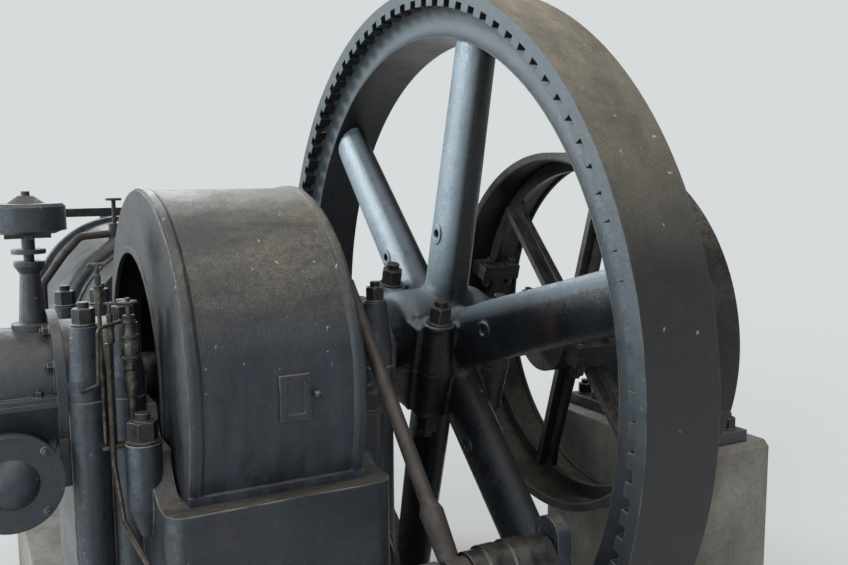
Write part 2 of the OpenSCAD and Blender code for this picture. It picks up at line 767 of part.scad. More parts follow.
// Cooling water pipe around the cylinder's front ring, with a valve at its upper end
module water_pipe() {
  color("saddlebrown") translate([0, pipe_y, sh]) {
    difference() {
      pipe(route([[-ring_r + 30, 0, -60], [-ring_r - 40, 0, -60], [-ring_r - 40, 0, 215],
        [-ring_r + 50, 0, 337], [-ring_r + 120, 0, 412], [-170, 0, 420]], 45), pipe_r);
      y_rod(ring_r + 0.3, -60, 60);
    }
    translate([-180, 0, 0]) difference() {
      union() {
        translate([0, 0, 380]) cylinder(r = 26, h = 84);
        translate([0, 0, 464]) cylinder(r = 9, h = 100);
        translate([0, 0, 564]) cylinder(r = 34, h = 10);
      }
      translate([180, 0, 0]) y_rod(ring_r + 0.3, -60, 60);
    }
  }
}

module side_pipes() {
  color("sienna") for (dx = [26, 57]) translate([bearing_x - stud_x + dx, side_pipe_y(dx), 0])
    pipe(route([[0, 0, sh - 110], [0, 0, sh - 400], [0, -210, sh - 610], [0, -210, fnd_h]], 60), 14);
}

// Place of a side pipe that leans on the pedestal's front pillar
function side_pipe_y(dx) = -stud_y - 4 - sqrt(pow(pillar_r + 14.3, 2) - dx * dx);

module outboard_bearing() {
  color("darkslategray") translate([outboard_x, 0, 0]) difference() {
    union() {
      translate([-outboard_len / 2 - 20, -block_len / 2 + 40, block_z])
        cube([outboard_len + 40, block_len - 80, 50]);
      translate([-outboard_len / 2, 0, block_z + 50]) rotate([90, 0, 90]) linear_extrude(outboard_len)
        polygon([[-300, 0], [300, 0], [215, 160], [215, block_drop - 50],
          [-215, block_drop - 50], [-215, 160]]);
    }
    translate([0, 0, sh]) x_rod(shaft_r + run_gap, -outboard_len, outboard_len);
  }
}

module outboard_cap() {
  color("darkslategray") translate([outboard_x, 0, sh]) difference() {
    union() {
      intersection() {
        x_rod(165, -outboard_len / 2, outboard_len / 2);
        translate([-outboard_len, -200, 0]) cube([2 * outboard_len, 400, 200]);
      }
      translate([-outboard_len / 2, -215, 0]) cube([outboard_len, 430, 56]);
    }
    x_rod(shaft_r + run_gap, -outboard_len, outboard_len);
  }
}

module outboard_nuts() {
  color("dimgray") {
    for (y = [-1, 1], dx = [-70, 70])
      translate([outboard_x + dx, y * (block_len / 2 - 95), block_z + 50]) nut(60, 52, 36);
    for (y = [-1, 1], dx = [-60, 60]) translate([outboard_x + dx, y * 186, sh + 56]) nut(44, 40, 28);
  }
}

module barring_brackets() {
  color("darkslategray") translate([0, -bar_y, 0]) for (end = [0, 1]) {
    x = end > 0 ? bar_right - 52 : bar_left + 32;
    top = end > 0 ? 62 : 0;
    difference() {
      union() {
        translate([x - 32, -110, fnd_h]) cube([64, 220, 40]);
        translate([x - 22, -58, fnd_h]) cube([44, 116, bar_z + top - fnd_h]);
        translate([0, 0, bar_z + top]) x_rod(58, x - 22, x + 22);
      }
      translate([0, 0, bar_z]) x_rod(bar_d / 2 + run_gap, x - 60, x + 60);
      // Sunk panel in both faces of the arched bracket
      if (end > 0) for (face = [x - 23, x + 17]) translate([0, 0, bar_z + top]) {
        x_rod(40, face, face + 6);
        translate([face, -40, -40]) cube([6, 80, 40]);
      }
    }
  }
}

module barring_shaft() {
  color("dimgray") translate([0, -bar_y, bar_z]) {
    x_rod(bar_d / 2, bar_left, bar_right - 10);
    x_rod(bar_collar_r - 8, lever_x + 22, lever_x + 68);
    x_rod(bar_collar_r, lever_x + 68, lever_x + 118);
    x_rod(bar_collar_r - 5, lever_x + 118, lever_x + 146);
    x_rod(bar_collar_r + 2, lever_x + 146, lever_x + 196);
    x_rod(bar_collar_r - 6, lever_x + 196, bar_right - 82);
  }
}

module barring_lever() {
  socket_len = 200;
  color("saddlebrown") translate([lever_x - 12, -bar_y, bar_z]) rotate([-lever_lean, 0, 0]) difference() {
    union() {
      x_rod(bar_d / 2 + 24, -32, 32);
      cylinder(r1 = 28, r2 = 36, h = socket_len);
      translate([0, 0, socket_len]) cylinder(r1 = 36, r2 = 24, h = 30);
      translate([0, 0, socket_len + 30]) cylinder(r1 = 24, r2 = 22, h = lever_len - 60);
      translate([0, 0, socket_len + lever_len - 30]) cylinder(r1 = 22, r2 = 15, h = 12);
    }
    x_rod(bar_d / 2 + seat_gap, -60, 60);
  }
}

module crank_web() {
  rotate([90, 0, 90]) linear_extrude(web_t) union() {
    translate([-web_w / 2, -220]) square([web_w, crank_throw + 220]);
    translate([0, crank_throw]) circle(d = web_w);
    intersection() {
      circle(r = 400);
      translate([-300, -400]) square([600, 330]);
    }
  }
}

module crankshaft() {
  web_in = pin_len / 2;
  color("silver") translate([0, 0, sh]) {
    x_rod(shaft_r, -case_in - 120, -web_in);
    x_rod(shaft_r, web_in, shaft_right - shaft_end);
    x_rod(shaft_r - 5, shaft_right - shaft_end - 1, shaft_right);
    translate([0, 0, crank_throw]) x_rod(shaft_r, -web_in - 10, web_in + 10);
    translate([web_in, 0, 0]) crank_web();
    translate([-web_in - web_t, 0, 0]) crank_web();
  }
}

// Radius and depth of the sunk band, from the notches' inner end at 0 to the rim's bore at 1
function sunk_band(share) = [notch_tip - share * (notch_tip - rim_in),
  notch_in + notch_sill + 4 * band_hollow * share * (1 - share)];

module rim_profile() {
  polygon(concat([[rim_in, rim_w], [wheel_r, rim_w], [wheel_r, 0], [notch_tip, 0]],
    [for (i = [0 : band_steps]) sunk_band(i / band_steps)]));
}

// The rim, without the teeth that the barring notches leave, its axis along Z
module plain_rim() {
  rotate_extrude($fn = 192) rim_profile();
}

module flywheel_rim() {
  color("darkslategray") translate([wheel_x, 0, sh]) rotate([wheel_turn, 0, 0]) rotate([90, 0, 90])
    difference() {
      plain_rim();
      for (i = [0 : notch_count - 1]) rotate([0, 0, (i - notch_phase) * 360 / notch_count])
        translate([notch_tip - 5, -notch_w / 2, -1]) cube([notch_depth + 5, notch_w, notch_in + 1]);
    }
}

// Hub with six tapered oval spokes and its bolts' bosses, its joint being level
module wheel_centre() {
  x_rod(hub_r - 12, hub_x, hub_end);
  x_rod(hub_r + 10, hub_x + face_t, hub_end - face_t);
  for (i = [0 : 5]) rotate([i * 60 + 30, 0, 0]) translate([wheel_mid, 0, 0]) rotate([90, 0, 0]) {
    linear_extrude(rim_in + 60, scale = spoke_taper)
      scale([spoke_t / spoke_h, 1]) circle(d = spoke_h, $fn = 28);
    // Rim of the core hole in the spoke's left side
    translate([-spoke_t / 2 - 2, 0, spoke_eye]) rotate([0, 90, 0]) cylinder(r = eye_r + 9, h = 40);
  }
  for (x = [bolt_left, bolt_right], y = [-boss_y, boss_y], side = [0, 180])
    translate([x, y, 0]) rotate([side, 0, 0]) {
      cylinder(r1 = boss_r + 6, r2 = boss_r - 6, h = boss_z);
      translate([0, 0, boss_z - 14]) cylinder(r = boss_r, h = 14);
    }
  // Plates between the bosses at the hub's ends
  for (x = [hub_x, hub_end - face_t])
    translate([x, -boss_y, 20 - boss_z]) cube([face_t, 2 * boss_y, 2 * boss_z - 40]);
}

module flywheel_spokes() {
  color("darkslategray") translate([0, 0, sh]) rotate([wheel_turn, 0, 0]) difference() {
    wheel_centre();
    x_rod(shaft_r + seat_gap, hub_x - 10, hub_end + 10);
    for (i = [0 : 5]) rotate([i * 60 + 30, 0, 0]) translate([wheel_mid - spoke_t, 0, 0]) rotate([90, 0, 0])
      translate([0, 0, spoke_eye]) rotate([0, 90, 0]) cylinder(r = eye_r, h = spoke_t / 2 + 30);
    translate([wheel_x, 0, 0]) rotate([90, 0, 90]) plain_rim();
    // Joint of the hub, as a shallow groove around it
    for (y = [-1, 1]) translate([hub_x - 1, y * (hub_r + 60) - 60, -1]) cube([hub_len + 2, 120, 2]);
  }
}

module flywheel_bolts() {
  color("dimgray") translate([0, 0, sh]) rotate([wheel_turn, 0, 0])
    for (x = [bolt_left, bolt_right], y = [-boss_y, boss_y], side = [0, 180])
      translate([x, y, 0]) rotate([side, 0, 0]) translate([0, 0, boss_z]) nut(76, 66, 50);
}

// Outline of a pulley arm, waisted between its wide foot and its flared end
module arm_outline() {
  foot = pulley_hub_r - 24;
  top = pulley_r - 40;
  polygon([[foot, -arm_w / 2 - 14], [foot + 70, -arm_w / 2], [top - 120, -arm_w / 2 + 10],
    [top - 40, -arm_w / 2 - 4], [top, -arm_w / 2 - 34], [top, arm_w / 2 + 34], [top - 40, arm_w / 2 + 4],
    [top - 120, arm_w / 2 - 10], [foot + 70, arm_w / 2], [foot, arm_w / 2 + 14]]);
}

// Half section of the pulley's rim, with a middle rib and a bead at each edge
module pulley_rim() {
  inner = pulley_r - pulley_t;
  translate([inner, -pulley_w / 2]) square([pulley_t, pulley_w]);
  translate([pulley_r - 78, -14]) square([78, 28]);
  for (side = [-1, 1]) translate([inner, side * (pulley_w / 2 - 12)]) circle(r = 12);
}

module pulley_half() {
  reach = pulley_r + 1;
  color("dimgray") translate([pulley_mid, 0, 0]) rotate([90, 0, 90]) difference() {
    union() {
      rotate_extrude($fn = 144) pulley_rim();
      translate([0, 0, -pulley_hub_len / 2]) cylinder(r = pulley_hub_r, h = pulley_hub_len);
      for (a = [30, 90, 150]) rotate([0, 0, a]) {
        translate([0, 0, -arm_t / 2]) linear_extrude(arm_t) arm_outline();
        translate([pulley_hub_r - 20, -13, -62]) cube([pulley_r - pulley_hub_r - 46, 26, 62]);
      }
      for (side = [-1, 1]) {
        translate([side * (pulley_r - 70) - 62, 0, -100]) cube([124, 34, 200]);
        translate([side * (pulley_hub_r + 34) - 50, 0, -pulley_hub_len / 2 + 10])
          cube([100, pulley_lug, pulley_hub_len - 20]);
      }
    }
    translate([0, 0, -pulley_w]) cylinder(r = shaft_r + seat_gap, h = 2 * pulley_w);
    translate([-reach, -reach + split_gap / 2, -pulley_w]) cube([2 * reach, reach, 2 * pulley_w]);
    difference() {
      translate([0, 0, -pulley_w]) cylinder(r = pulley_r + 100, h = 2 * pulley_w);
      translate([0, 0, -pulley_w]) cylinder(r = pulley_r, h = 2 * pulley_w, $fn = 144);
    }
  }
}

module pulley_upper() {
  translate([0, 0, sh]) rotate([pulley_turn, 0, 0]) pulley_half();
}

module pulley_lower() {
  translate([0, 0, sh]) rotate([180 + pulley_turn, 0, 0]) pulley_half();
}

module pulley_bolts() {
  color("dimgray") translate([0, 0, sh]) rotate([pulley_turn, 0, 0])
    for (side = [0, 180]) rotate([side, 0, 0]) {
      for (y = [-1, 1], x = [-pulley_bolt_x, pulley_bolt_x])
        translate([pulley_mid + x, y * (pulley_hub_r + 46), pulley_lug]) nut(54, 46, 34);
      for (y = [-1, 1], x = [-64, 64]) translate([pulley_mid + x, y * (pulley_r - 100), 34]) nut(38, 30, 22);
    }
}

foundation();
outboard_block();
bed();
left_bearing_cap();
right_bearing_cap();
left_cap_nuts();
right_cap_nuts();
front_tie_nuts();
crank_guard();
guard_hatch();
cylinder_jacket();
cylinder_head();
head_nuts();
exhaust_bend();
valve_rockers();
gear_case_lower();
gear_case_upper();
gear_case_lid();
layshaft_cover();
layshaft();
layshaft_bearings();
governor_column();
governor_head();
sight_oiler();
oil_valves();
oil_pipes();
side_pipes();
outboard_bearing();
outboard_cap();
outboard_nuts();
barring_brackets();
barring_shaft();
barring_lever();
crankshaft();
flywheel_rim();
flywheel_spokes();
flywheel_bolts();
pulley_upper();
pulley_lower();
pulley_bolts();
gear_case_bolts();
water_pipe();
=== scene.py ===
"""A horizontal stationary engine, dressed for rendering: finishes, soft cast edges and fine detail."""

import json
import math

import bmesh
import bpy
from mathutils import Matrix, Vector

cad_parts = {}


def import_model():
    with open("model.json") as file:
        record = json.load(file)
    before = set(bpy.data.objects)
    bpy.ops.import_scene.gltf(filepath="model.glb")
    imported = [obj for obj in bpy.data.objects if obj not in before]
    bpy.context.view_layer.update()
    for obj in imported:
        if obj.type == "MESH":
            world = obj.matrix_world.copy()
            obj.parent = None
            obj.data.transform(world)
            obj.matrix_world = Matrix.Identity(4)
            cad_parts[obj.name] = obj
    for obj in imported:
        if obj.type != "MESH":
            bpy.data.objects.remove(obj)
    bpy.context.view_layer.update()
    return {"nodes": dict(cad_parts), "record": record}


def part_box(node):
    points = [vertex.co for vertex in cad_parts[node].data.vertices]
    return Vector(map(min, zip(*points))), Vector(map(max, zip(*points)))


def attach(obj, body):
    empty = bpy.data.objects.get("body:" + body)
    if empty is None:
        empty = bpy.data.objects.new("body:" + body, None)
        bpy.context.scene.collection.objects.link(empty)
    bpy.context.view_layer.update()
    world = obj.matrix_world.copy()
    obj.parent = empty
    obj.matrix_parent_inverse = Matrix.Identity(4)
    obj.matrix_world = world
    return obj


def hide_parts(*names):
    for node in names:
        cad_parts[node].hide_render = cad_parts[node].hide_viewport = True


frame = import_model()

# The camera of the photograph, in the part's frame: metres and degrees, with its lens in millimetres
CAMERA_PLACE = Vector((-0.8425, -3.0916, 2.110))
CAMERA_YAW = 28.06
CAMERA_PITCH = -7.17
CAMERA_ROLL = -0.38
CAMERA_LENS = 38.2
CAMERA_SENSOR = 36.0
CAMERA_FAR = 1000.0

# The floor's half width and colour
FLOOR_REACH = 400.0
FLOOR_COLOR = (0.57, 0.565, 0.555)

# Soft light from all round, and wide suns: name, direction towards it, strength, spread, colour
AMBIENT = 0.22
AMBIENT_COLOR = (0.84, 0.93, 1.0)
SUNS = (
    ("door", (-0.84, -0.44, 0.32), 1.1, 22.0, (0.84, 0.93, 1.0)),
    ("back_door", (-0.74, 0.60, 0.30), 3.3, 24.0, (0.88, 0.96, 1.0)),
    ("back", (0.12, 0.86, 0.48), 1.0, 24.0, (0.90, 0.96, 1.0)),
    ("sky", (0.0, -0.05, 1.0), 1.2, 40.0, (1.0, 0.97, 0.93)),
    ("front", (-0.20, -0.80, 0.56), 0.7, 40.0, (0.92, 0.96, 1.0)),
)

# Height of the crankshaft and radius of the flywheel
SHAFT_HEIGHT = 1.42
WHEEL_RADIUS = 1.35

# The flywheel's turn at rest, its hub and the bosses of its bolts
WHEEL_TURN = math.radians(14.0)
HUB_BORE = 0.08
BOSS_X = (0.737, 0.993)
BOSS_Y = 0.205
BOSS_CLEAR = 0.085

# The cast copy of the spokes: size of its cells, strength and passes of smoothing
CAST_VOXEL = 0.008
SMOOTHING = 0.5
CAST_PASSES = 1

# Extra smoothing where the spokes run into the hub: from and out to a reach from the axis, with a soft end
ROOT_PASSES = 60
ROOT_START = HUB_BORE + 0.03
ROOT_REACH = 0.42
ROOT_FADE = 0.10

# The fine groove between the hub's halves: half its width, its depth, how near its plane, how far out it
# is cut, and how near a point counts as on the plane when cutting and when sinking
JOINT_HALF = 0.0022
JOINT_DEPTH = 0.006
JOINT_ZONE = 0.02
JOINT_START = HUB_BORE + 0.02
JOINT_REACH = 0.36
JOINT_MERGE = 1e-6
JOINT_ON = 1e-5

# The side of the wheel where its steep upper spokes lie: a height that grows towards +Y
STEEP_SIDE = (0.0, 0.9, 1.0)

# Rims of the core holes in the spokes: turn, place, and section as radius and rise
EYE_TURNS = [math.radians(60 * i - 60) for i in range(6)]
EYE_X = 0.805
EYE_REACH = 0.46
EYE_STRETCH = 1.35
EYE_SEGMENTS = 40
EYE_PROFILE = (
    (0.016, -0.012), (0.0180, 0.003), (0.021, 0.006), (0.026, 0.006), (0.031, 0.003), (0.034, -0.005),
    (0.034, -0.016),
)

# The sight oiler: its axis from its box, its glass, the rods round it
OILER_IN = 0.094
OILER_DISC = 0.026
GLASS_SPAN = (0.143, 0.195)
GLASS_RADIUS = 0.0216
CAGE_RODS = 6
CAGE_RADIUS = 0.0236
ROD_RADIUS = 0.0018
ROD_SIDES = 10

# Its rounded flanges, by height over the crankshaft, and their radius, thickness and facets
OILER_HOOPS = (("low", 0.137), ("high", 0.201), ("wheel", 0.303))
HOOP_RADIUS = OILER_DISC - 0.001
HOOP_TUBE = 0.0045
HOOP_SIDES = 14
HOOP_SEGMENTS = 40

# Its nuts: name, height over the crankshaft, radius, height
OILER_NUTS = (
    ("foot", 0.098, 0.0190, 0.016),
    ("gland", 0.238, 0.0215, 0.015),
    ("stem", 0.307, 0.0085, 0.010),
)

# The sides of a nut, and its chamfer as a share of its radius
NUT_SIDES = 6
NUT_CUT = 0.18

# The oil valves: half a bar, the body's radius, the bar's radius, and the step to the short one
VALVE_BAR = 0.022
VALVE_BODY = 0.012
VALVE_TOP = 0.005
VALVE_STEP = (0.030, 0.014, -0.120)

# Their nuts: kind, drop below the bar, radius, height
VALVE_NUTS = (("nut", 0.074, 0.0150, 0.013), ("foot", 0.118, 0.0140, 0.012))

# The knobs on their bars
KNOB_RADIUS = 0.0065
KNOB_SIDES = 16
KNOB_TURNS = [math.pi * (k + 0.3) / 9.6 for k in range(10)]

# Features per metre of the finest dust and of the droppings, and the soft step inside the wheel's tread
SPECK_SCALE = 240.0
FLECK_SCALE = 26.0
TREAD_STEP = (0.003, 0.001)

# Colours of dust, wear, rust and grime in the finishes, and of the painted highlights, painted light and
# painted reflection
BROWN_DUST = (0.275, 0.235, 0.165)
BLACK_DUST = (0.20, 0.172, 0.132)
LEDGE_DUST = (0.25, 0.21, 0.15)
PULLEY_DUST = (0.21, 0.185, 0.145)
# Painted highlight: the pale blue strip where round castings face the front left
PAINTED_SHEEN = (0.19, 0.235, 0.27)
# Painted light: pale blue on the rim's left face, paler towards the top
RIM_PAINTED_LIGHT = (0.125, 0.155, 0.172)
# Painted highlight: pale blue on the upper spokes' left and upper sides
SPOKE_HIGHLIGHT = (0.29, 0.35, 0.39)
TREAD_GREY = (0.032, 0.031, 0.030)
# Dust on the tread's top, and painted light from above on it
TREAD_DUST_AND_LIGHT = (0.52, 0.44, 0.325)
# A paler grey on the pulley's faces that look along -X
LEFT_FACE_GREY = (0.17, 0.17, 0.155)
SIDE_DULL = (0.036, 0.034, 0.032)
# Painted reflection: pale blue on the guard's lower part
GUARD_LOW_REFLECTION = (0.055, 0.075, 0.105)
STREAK = (0.030, 0.024, 0.019)
GRIT = (0.14, 0.135, 0.125)
RUST = (0.115, 0.058, 0.030)
DROPPINGS = (0.50, 0.49, 0.44)
OLD_OIL = (0.045, 0.034, 0.024)
OILY_DUST = (0.13, 0.11, 0.085)
RUST_DUST = (0.15, 0.12, 0.095)
RUBBED_RUST = (0.30, 0.25, 0.21)
BRASS_GRIME = (0.030, 0.026, 0.021)
BLOCK_GRIME = (0.11, 0.095, 0.075)
BLOCK_RUST = (0.12, 0.085, 0.055)
# Darker towards the bottom of the concrete
BLOCK_LOW_DARK = (0.10, 0.085, 0.070)
BLOCK_CHIPPED = (0.40, 0.38, 0.34)
GLASS_CLEAR = (0.55, 0.56, 0.50)
GLASS_OILY = (0.36, 0.34, 0.26)


# Node materials


class Shader:
    """A node material that is built up call by call, in the object's own coordinates."""

    def __init__(self, name):
        self.material = bpy.data.materials.new(name)
        self.material.use_nodes = True
        self.tree = self.material.node_tree
        self.surface = self.tree.nodes["Principled BSDF"]
        self.places = self.node("ShaderNodeTexCoord")
        self.object = self.places.outputs["Object"]

    def node(self, kind, **settings):
        made = self.tree.nodes.new(kind)
        for key, value in settings.items():
            setattr(made, key, value)
        return made

    def feed(self, socket, value):
        """Links or sets a socket."""
        if isinstance(value, bpy.types.NodeSocket):
            self.tree.links.new(value, socket)
        elif isinstance(value, tuple) and len(value) == 3 and socket.type == "RGBA":
            socket.default_value = (*value, 1.0)
        else:
            socket.default_value = value

    def scaled(self, stretch):
        """The object's coordinates, stretched along its axes."""
        mapping = self.node("ShaderNodeMapping")
        self.feed(mapping.inputs["Vector"], self.object)
        mapping.inputs["Scale"].default_value = stretch
        return mapping.outputs["Vector"]

    def turned(self, angles, stretch):
        """The object's coordinates, turned and then stretched."""
        made = self.scaled(stretch)
        made.node.inputs["Rotation"].default_value = angles
        return made

    def warped(self, at, scale, reach):
        """Coordinates pushed about by a noise, for ragged outlines."""
        made = self.node("ShaderNodeTexNoise")
        self.feed(made.inputs["Vector"], at)
        made.inputs["Scale"].default_value = scale
        shift, total = self.node("ShaderNodeVectorMath"), self.node("ShaderNodeVectorMath")
        shift.operation, total.operation = "SCALE", "ADD"
        self.feed(shift.inputs[0], made.outputs["Color"])
        shift.inputs["Scale"].default_value = reach
        self.feed(total.inputs[0], at)
        self.feed(total.inputs[1], shift.outputs["Vector"])
        return total.outputs["Vector"]

    def noise(self, scale, detail, rough, at=None, warp=0.0):
        made = self.node("ShaderNodeTexNoise")
        self.feed(made.inputs["Vector"], at or self.object)
        made.inputs["Scale"].default_value = scale
        made.inputs["Detail"].default_value = detail
        made.inputs["Roughness"].default_value = rough
        made.inputs["Distortion"].default_value = warp
        return made.outputs["Fac"]

    def cells(self, scale, at=None):
        """Scattered cells: the distance to each one's middle, and a colour of its own."""
        made = self.node("ShaderNodeTexVoronoi", feature="F1")
        self.feed(made.inputs["Vector"], at or self.object)
        made.inputs["Scale"].default_value = scale
        return made.outputs["Distance"], made.outputs["Color"]

    def split(self, vector):
        """The X, Y and Z of a vector."""
        made = self.node("ShaderNodeSeparateXYZ")
        self.feed(made.inputs[0], vector)
        return made.outputs

    def dot(self, a, b):
        made = self.node("ShaderNodeVectorMath", operation="DOT_PRODUCT")
        self.feed(made.inputs[0], a)
        self.feed(made.inputs[1], b)
        return made.outputs["Value"]

    def ramp(self, value, low, high, to_low=0.0, to_high=1.0):
        """Maps a value from low..high onto to_low..to_high, and clamps it."""
        made = self.node("ShaderNodeMapRange", clamp=True)
        for socket, given in zip(made.inputs[:5], (value, low, high, to_low, to_high)):
            self.feed(socket, given)
        return made.outputs["Result"]

    def math(self, operation, a, b):
        made = self.node("ShaderNodeMath", operation=operation, use_clamp=True)
        self.feed(made.inputs[0], a)
        self.feed(made.inputs[1], b)
        return made.outputs["Value"]

    def times(self, a, b):
        return self.math("MULTIPLY", a, b)

    def mix(self, share, a, b):
        made = self.node("ShaderNodeMix", data_type="RGBA")
        self.feed(made.inputs["Factor"], share)
        self.feed(made.inputs[6], a)
        self.feed(made.inputs[7], b)
        return made.outputs[2]

    def up(self, low, high):
        """How much the surface faces up, in the object's own frame."""
        return self.turned_to((0.0, 0.0, 1.0), low, high)

    def turned_to(self, toward, low, high):
        """How much the surface faces a direction, in the object's own frame."""
        return self.ramp(self.dot(self.places.outputs["Normal"], toward), low, high)

    def rise(self):
        """Height above the ground."""
        return self.split(self.object)["Z"]

    def height(self, low, high):
        """Where the surface lies between two heights."""
        return self.ramp(self.rise(), low, high)

    def edges(self, radius):
        """A mask of the outer edges, and the normal that rounds them."""
        soft = self.node("ShaderNodeBevel", samples=4)
        soft.inputs["Radius"].default_value = radius
        plain = self.node("ShaderNodeNewGeometry")
        bend = self.dot(soft.outputs["Normal"], plain.outputs["Normal"])
        return self.ramp(bend, 0.98, 0.80), soft.outputs["Normal"]

    def bump(self, height, depth, strength, normal):
        made = self.node("ShaderNodeBump")
        made.inputs["Distance"].default_value = depth
        made.inputs["Strength"].default_value = strength
        self.feed(made.inputs["Height"], height)
        self.feed(made.inputs["Normal"], normal)
        return made.outputs["Normal"]

    def finish(self, color, roughness, normal=None, metallic=0.0, **plain):
        self.feed(self.surface.inputs["Base Color"], color)
        self.feed(self.surface.inputs["Roughness"], roughness)
        self.feed(self.surface.inputs["Metallic"], metallic)
        if normal is not None:
            self.feed(self.surface.inputs["Normal"], normal)
        for name, value in plain.items():
            self.surface.inputs[name.replace("_", " ")].default_value = value
        return self.material


def flecks(s, size, share):
    """Small scattered droppings: a random few of many cells, each with a ragged spot of its own size."""
    distance, own = s.cells(FLECK_SCALE, s.warped(s.scaled((1.0, 1.0, 0.72)), 26.0, 0.05))
    chance = s.split(own)
    grown = s.node("ShaderNodeMath", operation="MULTIPLY")
    s.feed(grown.inputs[0], distance)
    s.feed(grown.inputs[1], s.ramp(chance["Y"], 0.0, 1.0, 0.8, 2.6))
    spot = s.ramp(grown.outputs[0], size, size * 0.6)
    few = s.ramp(chance["X"], 1.0 - share, 1.0 - share + 0.01)
    return s.times(spot, few)


def cast_paint(name, deep, lit, dust, dusty=0.8, gloss=0.36, edge=0.004, worn=(0.26, 0.24, 0.20),
               rust=0.25, spots=0.0, spot_size=0.10, slope=(0.22, 0.97), bands=(), low=None,
               shine=0.55, even=0.45):
    """Old machine paint on cast iron: blotches, settled dust, streaks, rust, rubbed edges and flecks.

    Deep and lit are the paint's two tones. Slope is the range of upward facing over which dust lies.
    Each band is a mask, its colour, how strongly it covers and how much it dulls, and even says how whole
    the bands are; some bands are painted highlights and painted light.
    Low is a painted reflection, a patchy pale tint: full at its first height and gone at its second.
    """
    s = Shader(name)
    blotch = s.noise(2.2, 7, 0.62, warp=0.5)
    cloud = s.noise(9.0, 7, 0.62)
    mottle = s.noise(38.0, 6, 0.65)
    grain = s.noise(210.0, 4, 0.6)
    streak = s.noise(6.0, 6, 0.6, at=s.scaled((3.5, 3.5, 0.35)))
    swath = s.noise(3.2, 6, 0.66, at=s.turned((0.0, 0.6, 0.5), (0.7, 2.2, 2.2)), warp=0.3)
    mask, rounded = s.edges(edge)
    color = s.mix(s.ramp(blotch, 0.34, 0.66), deep, lit)
    color = s.mix(s.times(s.ramp(mottle, 0.50, 0.68), 0.45), color, tuple(0.55 * c for c in deep))
    # Painted reflection: a patchy pale tint over the lower part, gone higher up
    if low is not None:
        low_reflection = s.times(s.height(low[1], low[0]), s.ramp(streak, 0.40, 0.62))
        color = s.mix(s.times(low_reflection, 0.65), color, low[2])
    color = s.mix(s.times(s.ramp(streak, 0.55, 0.78), 0.4), color, STREAK)
    matte = None
    for where, tint, share, dulled in bands:
        patchy = s.times(where(s), s.ramp(cloud, 0.30, 0.60, even, 1.0))
        patchy = s.times(patchy, s.ramp(mottle, 0.30, 0.62, 1.0, even + 0.1))
        color = s.mix(s.times(patchy, share), color, tint)
        film = s.times(patchy, dulled)
        matte = film if matte is None else s.math("ADD", matte, film)
    speck = s.noise(SPECK_SCALE, 3, 0.7)
    lie = s.times(s.up(*slope), s.ramp(swath, 0.36, 0.58, 0.25, 1.0))
    fine_dust = s.ramp(speck, 0.40, 0.60, 0.22, 1.0)
    speckled = s.times(s.ramp(mottle, 0.32, 0.58, 0.35, 1.0), fine_dust)
    settled = s.times(s.times(lie, speckled), dusty)
    color = s.mix(settled, color, dust)
    grit = s.times(s.ramp(speck, 0.60, 0.72), s.ramp(cloud, 0.42, 0.60, 0.15, 0.65))
    color = s.mix(grit, color, GRIT)
    rusty = s.times(s.ramp(s.noise(5.5, 8, 0.7, warp=0.6), 0.56, 0.70), s.ramp(grain, 0.35, 0.60))
    color = s.mix(s.times(rusty, rust), color, RUST)
    rubbed = s.times(mask, s.ramp(cloud, 0.38, 0.60, 0.10, 1.0))
    color = s.mix(rubbed, color, worn)
    if spots:
        seen = s.times(flecks(s, spot_size, spots), s.up(-0.15, 0.45))
        color = s.mix(s.times(seen, 0.75), color, DROPPINGS)
    rough = s.ramp(cloud, 0.3, 0.7, gloss - 0.07, gloss + 0.12)
    rough = s.math("ADD", rough, s.times(settled, 0.38))
    if matte is not None:
        rough = s.math("ADD", rough, matte)
    fine = s.bump(speck, 0.0016, 0.8, s.bump(mottle, 0.003, 0.7, s.bump(cloud, 0.004, 0.5, rounded)))
    return s.finish(color, rough, fine, Specular_IOR_Level=shine)


def facing_left(s):
    """Faces that look along -X."""
    return s.turned_to((-1.0, 0.0, 0.0), 0.80, 0.97)


def painted_sheen_strip(s):
    """A painted highlight on round castings: a broken pale strip where they face the front left."""
    strip = s.turned_to((-0.70, -0.70, 0.08), 0.88, 0.99)
    return s.times(strip, s.ramp(s.noise(170.0, 3, 0.7), 0.40, 0.60, 0.35, 1.0))


def painted_light_rim(s):
    """Painted light on the rim's left face, which looks toward the lamps on the left: paler towards the
    top.
    """
    return s.times(facing_left(s), s.ramp(s.rise(), 0.95, 2.25, 0.06, 1.0))


def painted_spoke_highlights(s):
    """Painted highlights: the left sides of the steep upper spokes, and the upper sides of the level ones.
    """
    on_steep = s.ramp(s.dot(s.object, STEEP_SIDE), SHAFT_HEIGHT, SHAFT_HEIGHT + 0.2)
    steep = s.times(s.turned_to((-0.97, 0.25, 0.0), 0.42, 0.86), on_steep)
    level = s.turned_to((-0.40, 0.0, 0.92), 0.58, 0.98)
    return s.times(s.math("MAXIMUM", steep, level), s.ramp(s.rise(), 1.36, 1.62))


def dusty_and_lit_tread(s):
    """The top of the tread, where dust lies in dull swaths and painted light from above makes it paler."""
    grains = s.ramp(s.noise(SPECK_SCALE, 3, 0.7), 0.38, 0.62, 0.50, 1.0)
    swaths = s.ramp(s.noise(2.6, 6, 0.66, at=s.scaled((2.4, 0.8, 0.8))), 0.34, 0.60, 0.55, 1.0)
    dust_and_top_light = s.times(s.up(0.30, 0.88), s.times(grains, swaths))
    return s.times(tread(s), dust_and_top_light)


def open_left(s):
    """Faces that look more or less along -X."""
    return s.turned_to((-1.0, 0.0, 0.0), 0.30, 0.90)


